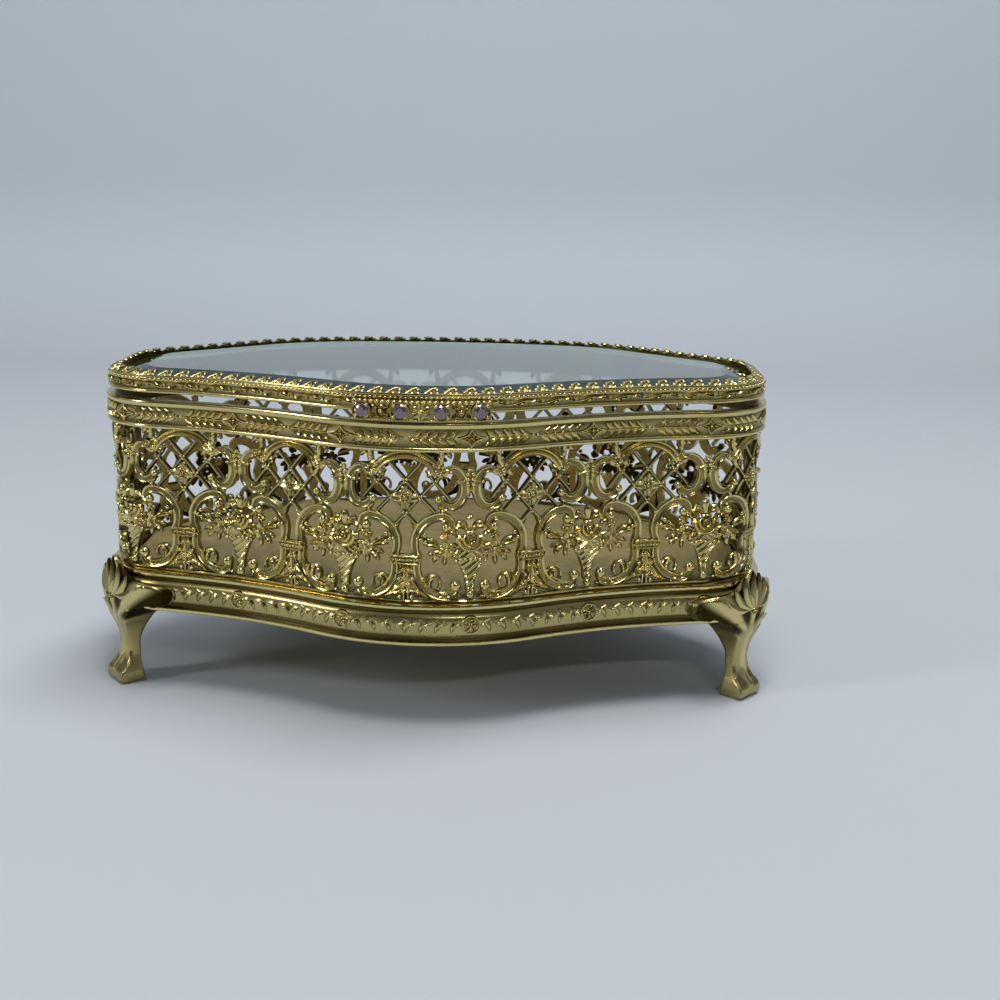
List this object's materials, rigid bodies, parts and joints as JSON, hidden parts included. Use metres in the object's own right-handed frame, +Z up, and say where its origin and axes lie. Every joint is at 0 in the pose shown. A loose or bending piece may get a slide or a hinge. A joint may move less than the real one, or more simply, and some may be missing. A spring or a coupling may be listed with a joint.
{
  "type": "glass casket box",
  "caption": "Gilt filigree keepsake casket with a serpentine front, scrolled feet and a hinged bevelled-glass lid.",
  "frame": {"origin": "on the table, under the middle of the casket", "axes": "+X along the length, -Y is the bowed front with the thumb bar, +Z is up"},
  "size_m": [0.16, 0.1016, 0.0763],
  "materials": {
    "gilt_metal": "satin",
    "old_gilt_metal": "satin",
    "satin_lining": "satin",
    "lining_card": "matte",
    "bevelled_glass": "gloss",
    "crystal_stone": "gloss"
  },
  "bodies": {
    "casket": {"base_moulding": "old_gilt_metal", "floor_plate": "old_gilt_metal", "lining_board": "lining_card", "lining_pad": "satin_lining", "foot_front_left": "gilt_metal", "foot_front_right": "gilt_metal", "foot_back_left": "gilt_metal", "foot_back_right": "gilt_metal", "front_filigree": "gilt_metal", "right_filigree": "gilt_metal", "back_filigree": "gilt_metal", "left_filigree": "gilt_metal", "rim_band": "gilt_metal", "hinge_lower_leaf": "gilt_metal", "hinge_pin": "old_gilt_metal"},
    "lid": {"hinge_upper_leaf": "gilt_metal", "lid_band": "gilt_metal", "glass_seat": "old_gilt_metal", "glass_panel": "bevelled_glass", "crown_gallery": "gilt_metal", "thumb_bar": "gilt_metal", "bar_flower": "gilt_metal", "bar_oval_left": "gilt_metal", "bar_oval_right": "gilt_metal", "crystal_1": "crystal_stone", "crystal_2": "crystal_stone", "crystal_3": "crystal_stone", "crystal_4": "crystal_stone"}
  },
  "joints": [
    {"name": "lid_hinge", "type": "hinge", "parent": "casket", "child": "lid", "pos_m": [0, 0.0495, 0.0693], "axis": [-1, 0, 0], "range_deg": [0, 100]}
  ]
}
